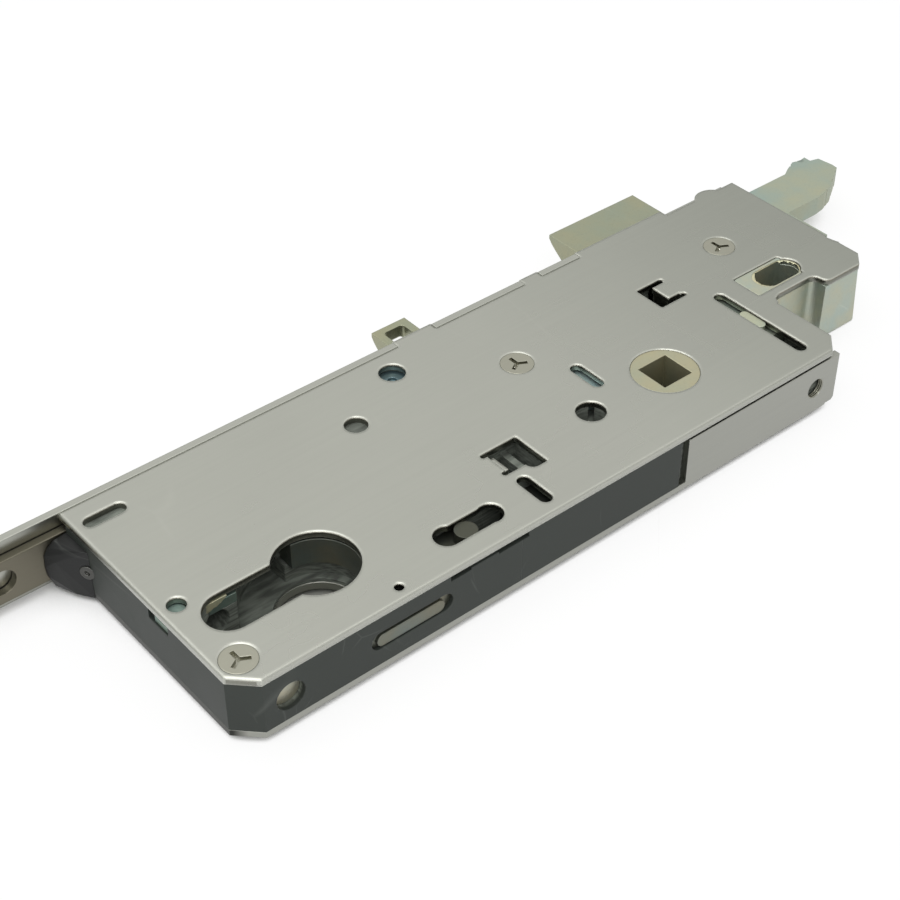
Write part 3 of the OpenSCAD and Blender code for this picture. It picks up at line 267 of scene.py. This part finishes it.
def moulding(name, colour, roughness, scuff=0.5, specular=0.45, dusty=None):
    material, tree, shader = start_material(name, 0.0, specular)
    marks = group(tree, blotches, Broad=40.0, Fine=3000.0)
    lines = group(tree, hairlines, Spacing=70.0, Amount=1.0)
    edge = group(tree, soft_edge, Radius=0.00025, Gain=2.0)
    base = blend(tree, ramp(tree, marks.outputs["Smear"], -1, 1), lighten(colour, 0.85),
                 lighten(colour, 1.15))
    if dusty is not None:
        # the pockets keep a grey film of grease and dust, wiped in slanting streaks
        x, y, _ = place_of(tree)
        inside = maths(tree, "MULTIPLY", ramp(tree, y, case_rear + 0.2, case_rear + 0.8),
                       ramp(tree, x, case_low + 0.5, case_low + 1.1))
        # neither the cut corner nor the end wall at the shoulder counts as inside
        inside = maths(tree, "MULTIPLY", inside, ramp(tree, maths(tree, "ADD", x, y), -134.0, -133.2))
        inside = maths(tree, "MULTIPLY", inside, ramp(tree, x, 36.0, 36.5, 1, 0))
        wiped = put(tree, "TexNoise", Vector=stretched(tree, (150, 700, 2200), (0.5, 0.4, 0)), Scale=1.0,
                    Detail=3.0).outputs[0]
        film = blend(tree, ramp(tree, wiped, 0.35, 0.65), lighten(dusty, 0.7), lighten(dusty, 1.7))
        base = blend(tree, inside, base, film)
    scratched = maths(tree, "MULTIPLY", lines.outputs["Mask"], 0.35 * scuff)
    base = blend(tree, scratched, base, (0.16, 0.17, 0.16, 1))
    rubbed = maths(tree, "MULTIPLY", edge.outputs["Mask"], 0.5 * scuff)
    base = blend(tree, rubbed, base, (0.13, 0.14, 0.13, 1))
    tree.links.new(base, shader.inputs["Base Color"])
    rough = maths(tree, "ADD", maths(tree, "MULTIPLY", marks.outputs["Smear"], 0.06), roughness)
    tree.links.new(rough, shader.inputs["Roughness"])
    bump = put(tree, "Bump", Height=marks.outputs["Grain"], Strength=0.25, Distance=0.00002,
               Normal=edge.outputs["Normal"])
    tree.links.new(bump.outputs[0], shader.inputs["Normal"])
    return material


case_black = moulding("case_plastic", (0.027, 0.032, 0.028), 0.50, specular=0.26,
                      dusty=(0.105, 0.115, 0.10))
dress("case_body", case_black)
dress("gear_body", case_black)
dress("rail_guide", moulding("guide_plastic", (0.013, 0.0135, 0.0135), 0.33, scuff=0.9, specular=0.22))

# Zinc parts: the end housing, rod head, lock ring, lock slide, carriage and clip are pressure die cast.
# Their skin is a pale blue-green, clouded, with small pits and rubbed corners.


def cast_zinc(name, colour, roughness, cloud=0.5, dark_spots=()):
    material, tree, shader = start_material(name, 0.85)
    marks = group(tree, blotches, Broad=75.0, Fine=1500.0)
    lines = group(tree, hairlines, Spacing=90.0, Amount=0.6)
    edge = group(tree, soft_edge, Radius=0.00030, Gain=2.2)
    warm = (colour[0] * 1.08, colour[1] * 1.02, colour[2] * 0.88, 1)
    cool = (colour[0] * 0.86, colour[1] * 0.98, colour[2] * 1.02, 1)
    base = blend(tree, ramp(tree, marks.outputs["Smear"], -cloud, cloud), cool, warm)
    base = blend(tree, ramp(tree, marks.outputs["Grain"], 0.2, 1.0, 0, 0.35), base, lighten(colour, 0.72))
    base = blend(tree, maths(tree, "MULTIPLY", lines.outputs["Mask"], 0.4), base, lighten(colour, 1.4))
    base = blend(tree, maths(tree, "MULTIPLY", edge.outputs["Mask"], 0.6), base, lighten(colour, 1.45))
    # dark round spots at given places, much darker than the skin
    for centre, radius, soft in dark_spots:
        base = blend(tree, maths(tree, "MULTIPLY", spot(tree, centre, radius, soft), 0.75), base,
                     (colour[0] * 0.22, colour[1] * 0.27, colour[2] * 0.28, 1))
    tree.links.new(base, shader.inputs["Base Color"])
    rough = maths(tree, "ADD", maths(tree, "MULTIPLY", marks.outputs["Smear"], 0.07), roughness)
    tree.links.new(rough, shader.inputs["Roughness"])
    bump = put(tree, "Bump", Height=marks.outputs["Grain"], Strength=0.22, Distance=0.00003,
               Normal=edge.outputs["Normal"])
    tree.links.new(bump.outputs[0], shader.inputs["Normal"])
    return material


zinc = cast_zinc("cast_zinc", (0.43, 0.445, 0.385), 0.42)
dress("end_housing", zinc)
# the dark spots on the rod head are painted shade in its notches and tooth valleys
dress("rod_connector", cast_zinc("rod_zinc", (0.37, 0.40, 0.345), 0.5, 0.7,
                                 dark_spots=(((96.6, 34.6, 3.0), 0.5, 1.0), ((91.5, 30.6, 3.0), 0.4, 0.9),
                                         ((93.6, 45.0, 3.0), 0.8, 0.7))))
# the lock ring and lock slide are the same zinc painted much darker, as shade inside the case
dress("lock_ring", cast_zinc("ring_zinc", (0.15, 0.155, 0.135), 0.42))
dress("lock_slide", cast_zinc("slide_zinc", (0.070, 0.076, 0.068), 0.42))
dress("slide_keeper", cast_zinc("keeper_zinc", (0.165, 0.168, 0.145), 0.38))
dress("latch_carriage", cast_zinc("carriage_zinc", (0.42, 0.46, 0.40), 0.42))
dress("end_clip", cast_zinc("clip_zinc", (0.235, 0.305, 0.285), 0.5,
                            dark_spots=(((-119.5, 7.0, 5.8), 0.5, 1.1), ((-117.4, 6.2, 5.8), 0.3, 0.5))))

# Gear train: follower, toothed segment, lever and slide. The follower is sintered steel, the blanked
# parts are zinc plated with a blue passivation.

dress("follower", cast_zinc("follower_metal", (0.42, 0.39, 0.285), 0.45, 0.9))
blue_steel = cast_zinc("plated_steel", (0.50, 0.61, 0.62), 0.38)
for node in ("drive_gear", "latch_lever", "drive_slide", "rail_bracket", "rail_rivets",
             "connector_rivets", "carriage_rivets"):
    dress(node, blue_steel)
dress("guide_pin", cast_zinc("guide_pin_steel", (0.17, 0.235, 0.26), 0.36, 0.35))
dress("rear_pin", cast_zinc("pin_steel", (0.46, 0.46, 0.41), 0.36))

# Latch bolts: cast, ground on the bevel and nickel plated, with an olive cast to the grey.

bolt_metal = cast_zinc("bolt_metal", (0.325, 0.33, 0.25), 0.33, 0.9)
dress("latch_bolt", bolt_metal)
dress("small_latch", bolt_metal)

# Springs: music wire, oiled and dark.

wire = cast_zinc("spring_wire", (0.26, 0.26, 0.25), 0.3)
dress("latch_spring", wire)
dress("small_latch_spring", wire)

# Cover plate: stainless sheet with the profile hole and its many slots. Blanking rolls its upper edges
# round; the bright line along each opening is that rounding with a painted highlight on it.

dress("cover_plate", stainless("cover_steel", STEEL, 0.28, rim=0.0010, rim_highlight=2.3, blanked_from=7.5))

# Screws: three countersunk case screws, and the small one in the rail guide.

screw_metal = stainless("screw_metal", (0.36, 0.355, 0.295), 0.32, rim=0.0002)
dress("case_screws", screw_metal)
# the small screw is dark oxide, with a strong painted highlight along its rims
dress("guide_screw", stainless("oxide_screw", (0.085, 0.085, 0.08), 0.30, rim=0.0002, rim_highlight=5.0))

# Metal pushed up in the screw recesses by the driver, and thread ridges in the tapped hole of the rear
# flange: both repeat, so each is grown once and spread over its places.


def grow(name, tree, points=((0, 0, 0),), **values):
    """A baked piece: what the geometry tree makes of these points (in millimetres) with these inputs."""
    mesh = bpy.data.meshes.new(name)
    mesh.from_pydata([tuple(c * MM for c in p) for p in points], [], [])
    piece = bpy.data.objects.new(name, mesh)
    bpy.context.scene.collection.objects.link(piece)
    steps = piece.modifiers.new("grow", "NODES")
    steps.node_group = tree
    for item in tree.interface.items_tree:
        if item.item_type == "SOCKET" and item.in_out == "INPUT" and item.name in values:
            steps[item.identifier] = values[item.name]
    bpy.context.view_layer.update()
    baked = bpy.data.meshes.new_from_object(piece.evaluated_get(bpy.context.evaluated_depsgraph_get()))
    piece.modifiers.remove(steps)
    piece.data = baked
    return piece


def start_growth(name, inputs):
    tree = bpy.data.node_groups.new(name, "GeometryNodeTree")
    sockets = {"Geometry": ("Geometry", None)}
    add_sockets(tree, {**sockets, **inputs, "Metal": ("Material", None)}, "INPUT")
    add_sockets(tree, sockets, "OUTPUT")
    return tree, tree.nodes.new("NodeGroupInput")


def chain(tree, kind, **inputs):
    """Adds a geometry node by its full name; sockets are linked and plain values are set."""
    node = tree.nodes.new(kind)
    for key, value in inputs.items():
        socket = node.inputs[key.replace("_", " ")]
        if isinstance(value, bpy.types.NodeSocket):
            tree.links.new(value, socket)
        else:
            socket.default_value = value
    return node


def finish_growth(tree, instances, given):
    real = chain(tree, "GeometryNodeRealizeInstances", Geometry=instances).outputs[0]
    done = chain(tree, "GeometryNodeSetMaterial", Geometry=real, Material=given.outputs["Metal"])
    tree.links.new(done.outputs[0], tree.nodes.new("NodeGroupOutput").inputs["Geometry"])


crumbs, given = start_growth("crumbs", {"Size": ("Float", 0.0004), "Seed": ("Int", 4)})
lump = chain(crumbs, "GeometryNodeMeshIcoSphere", Radius=given.outputs["Size"], Subdivisions=3).outputs[0]
uneven = chain(crumbs, "ShaderNodeTexNoise", Scale=2600.0, Detail=2.0).outputs["Color"]
pushed = chain(crumbs, "ShaderNodeVectorMath", Vector=uneven)
pushed.operation = "SCALE"
pushed.inputs["Scale"].default_value = 0.0003
lump = chain(crumbs, "GeometryNodeSetPosition", Geometry=lump, Offset=pushed.outputs[0]).outputs[0]
spin = crumbs.nodes.new("FunctionNodeRandomValue")
spin.data_type = "FLOAT_VECTOR"
spin.inputs[1].default_value = (6.28, 6.28, 6.28)
crumbs.links.new(given.outputs["Seed"], spin.inputs["Seed"])
placed = chain(crumbs, "GeometryNodeInstanceOnPoints", Points=given.outputs["Geometry"], Instance=lump,
               Rotation=spin.outputs[0], Scale=(1.2, 0.7, 0.5)).outputs[0]
finish_growth(crumbs, placed, given)
bright_scar = stainless("bright_scar", (0.62, 0.61, 0.54), 0.22, rim=0.0001)
recesses = ((-117.66, -11.87, 6.7), (-23.16, 21.9, 6.7), (42.68, 24.99, 6.7))
scars = grow("screw_scars", crumbs, recesses, Size=0.0004, Seed=4, Metal=bright_scar)
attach(scars, "case")

ridges, given = start_growth("ridges", {
    "Count": ("Int", 3), "Pitch": ("Float", 0.0005), "Radius": ("Float", 0.0024),
    "Wire": ("Float", 0.00015)})
line = chain(ridges, "GeometryNodeMeshLine", Count=given.outputs["Count"])
step = ridges.nodes.new("ShaderNodeCombineXYZ")
ridges.links.new(given.outputs["Pitch"], step.inputs["Y"])
ridges.links.new(step.outputs[0], line.inputs["Offset"])
hoop = chain(ridges, "GeometryNodeCurvePrimitiveCircle", Resolution=40,
             Radius=given.outputs["Radius"]).outputs[0]
thin = chain(ridges, "GeometryNodeCurvePrimitiveCircle", Resolution=8,
             Radius=given.outputs["Wire"]).outputs[0]
hoop = chain(ridges, "GeometryNodeCurveToMesh", Curve=hoop, Profile_Curve=thin).outputs[0]
placed = chain(ridges, "GeometryNodeInstanceOnPoints", Points=line.outputs[0], Instance=hoop,
               Rotation=(math.pi / 2, 0, 0)).outputs[0]
finish_growth(ridges, placed, given)
thread = grow("flange_thread", ridges, Count=3, Pitch=0.00045, Radius=0.00238, Wire=0.00015,
              Metal=screw_metal)
tapped_hole = (28.9, -17.75, -1.0)
thread.data.transform(Matrix.Translation([c * MM for c in tapped_hole]))
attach(thread, "case")

# Casting flash: thin ragged zinc squeezed out round the oval hole and under the cover beside the profile
# hole. It is left as cast, so it is paler and yellower than the rubbed skin around it.


def ragged(name, rim, teeth, lift, material):
    """A thin leaf between a rim and its torn edge, both in millimetres, thickened along lift."""
    points = list(rim) + list(teeth)
    points += [tuple(a + b for a, b in zip(p, lift)) for p in points]
    n, half = len(rim), len(rim) + len(teeth)
    faces = []
    for i in range(n - 1):
        faces += [(i, i + 1, n + i + 1, n + i), (half + i, half + n + i, half + n + i + 1, half + i + 1),
                  (n + i, n + i + 1, half + n + i + 1, half + n + i), (i, half + i, half + i + 1, i + 1)]
    faces += [(0, n, half + n, half), (n - 1, half + n - 1, half + n + n - 1, n + n - 1)]
    mesh = bpy.data.meshes.new(name)
    mesh.from_pydata([tuple(c * MM for c in p) for p in points], [], faces)
    mesh.materials.append(material)
    leaf = bpy.data.objects.new(name, mesh)
    bpy.context.scene.collection.objects.link(leaf)
    shell = bmesh.new()
    shell.from_mesh(mesh)
    bmesh.ops.recalc_face_normals(shell, faces=shell.faces)
    shell.to_mesh(mesh)
    shell.free()
    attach(leaf, "case")


flash_zinc = cast_zinc("flash_zinc", (0.66, 0.62, 0.45), 0.5, 0.9)
chance = random.Random(11)
# the oval hole's two centres, its middle line, its radius and the height of its rim, in millimetres
left, right, middle, radius, top = 42.25, 48.55, 9.95, 3.35, 7.2
steps = 96
rim, torn = [], []
for k in range(steps + 1):
    angle = 2 * math.pi * k / steps
    centre = right if math.cos(angle) > 0 else left
    turned = (math.cos(angle), math.sin(angle))
    reach = 0.10 + 0.12 * chance.random()
    if turned[0] < -0.2:
        reach += 1.25 * abs(turned[0]) * (0.55 + 0.45 * chance.random())
    elif 0.3 < turned[0] and turned[1] > 0:
        reach += 0.5 * chance.random()
    rim.append((centre + (radius + 0.05) * turned[0], middle + (radius + 0.05) * turned[1], top - 0.12))
    torn.append((centre + (radius - reach) * turned[0], middle + (radius - reach) * turned[1],
                 top - 0.12 - 0.3 * reach))
ragged("oval_flash", rim, torn, (0, 0, 0.1), flash_zinc)

torn = [(-114.88, 3.25), (-114.3, 3.9), (-113.95, 4.03), (-113.2, 3.95), (-112.59, 4.1), (-111.9, 4.45),
        (-111.27, 4.38), (-110.7, 4.75), (-110.31, 4.8), (-109.8, 5.2), (-109.33, 5.38), (-108.9, 5.8)]
rim = [(x, 5.12, 5.95) for x, z in torn]
ragged("clip_flash", rim, [(x, 5.0, z) for x, z in torn], (0, 0.08, 0), flash_zinc)

# Studio: a white table, two soft lamps and a grey sky that brightens overhead. The table is white to the
# camera and to reflections, and keeps part of the shadow.

table = bpy.data.meshes.new("table")
reach, table_z = 60.0, cad_box[0][2] - 0.00005
table.from_pydata([(-reach, -reach, table_z), (reach, -reach, table_z), (reach, reach, table_z),
                   (-reach, reach, table_z)], [], [(0, 1, 2, 3)])
floor = bpy.data.objects.new("table", table)
bpy.context.scene.collection.objects.link(floor)
paper, tree, shader = start_material("table_paper", 0.0)
shader.inputs["Roughness"].default_value = 0.9
seen = put(tree, "LightPath")
direct = maths(tree, "MAXIMUM", seen.outputs["Is Camera Ray"], seen.outputs["Is Glossy Ray"])
# beside the case the paper lies in soft shade from occlusion, and where it shows through the case's holes it
# is painted into deep shade
open_sky = put(tree, "AmbientOcclusion", {"samples": 8}, Distance=0.03).outputs["AO"]
direct = maths(tree, "MULTIPLY", direct, ramp(tree, open_sky, 0.25, 0.5))
x, y, _ = place_of(tree)
covered = maths(tree, "MULTIPLY", ramp(tree, y, -14.0, -11.0), ramp(tree, y, 39.0, 36.0))
along = maths(tree, "MULTIPLY", ramp(tree, x, -118.0, -115.0), ramp(tree, x, 35.0, 32.0))
covered = maths(tree, "MULTIPLY", covered, along)
direct = maths(tree, "MULTIPLY", direct, ramp(tree, covered, 0.0, 1.0, 1.0, 0.0))
# painted shade: under the case the paper's own colour is set dark
paper_with_painted_shade = blend(tree, covered, (0.8, 0.8, 0.8, 1), (0.30, 0.305, 0.275, 1))
tree.links.new(paper_with_painted_shade, shader.inputs["Base Color"])
white = put(tree, "Emission", Color=(1, 1, 1, 1), Strength=1.0)
mixed = tree.nodes.new("ShaderNodeMixShader")
tree.links.new(maths(tree, "MULTIPLY", direct, 0.85), mixed.inputs[0])
tree.links.new(shader.outputs[0], mixed.inputs[1])
tree.links.new(white.outputs[0], mixed.inputs[2])
tree.links.new(mixed.outputs[0], tree.nodes["Material Output"].inputs["Surface"])
floor.data.materials.append(paper)

world = bpy.data.worlds.new("sky")
world.use_nodes = True
tree = world.node_tree
rise = put(tree, "SeparateXYZ", i0=put(tree, "TexCoord").outputs["Generated"]).outputs["Z"]
tint = blend(tree, ramp(tree, rise, 0.1, 0.9), (0.55, 0.56, 0.54, 1), (1.0, 1.0, 0.98, 1))
tree.links.new(tint, tree.nodes["Background"].inputs[0])
tree.nodes["Background"].inputs[1].default_value = 1.15
bpy.context.scene.world = world


def lamp(name, place, aim, size, watts):
    light = bpy.data.lights.new(name, "AREA")
    light.shape = "RECTANGLE"
    light.size, light.size_y = size
    light.energy = watts
    body = bpy.data.objects.new(name, light)
    bpy.context.scene.collection.objects.link(body)
    body.location = place
    body.rotation_euler = (Vector(aim) - Vector(place)).to_track_quat("-Z", "Y").to_euler()


lamp("key_lamp", (-0.35, -0.35, 0.60), (0, 0, 0), (0.5, 0.4), 1.6)
lamp("top_lamp", (-0.25, 0.15, 0.80), (-0.05, 0, 0), (0.7, 0.7), 2.2)

camera = bpy.data.cameras.new("camera")
camera.sensor_width = 36.0
camera.lens = 73.677
camera.shift_x = -0.01556
camera.shift_y = -0.01368
eye = bpy.data.objects.new("camera", camera)
bpy.context.scene.collection.objects.link(eye)
heading, height, tilt = math.radians(-40.163), math.radians(39.655), math.radians(0.178)
eye.matrix_world = (Matrix.Translation((-0.232602, -0.209517, 0.245921))
                    @ Matrix.Rotation(heading, 4, "Z") @ Matrix.Rotation(math.pi / 2 - height, 4, "X")
                    @ Matrix.Rotation(tilt, 4, "Z"))
bpy.context.scene.camera = eye
bpy.context.scene.view_settings.view_transform = "Standard"
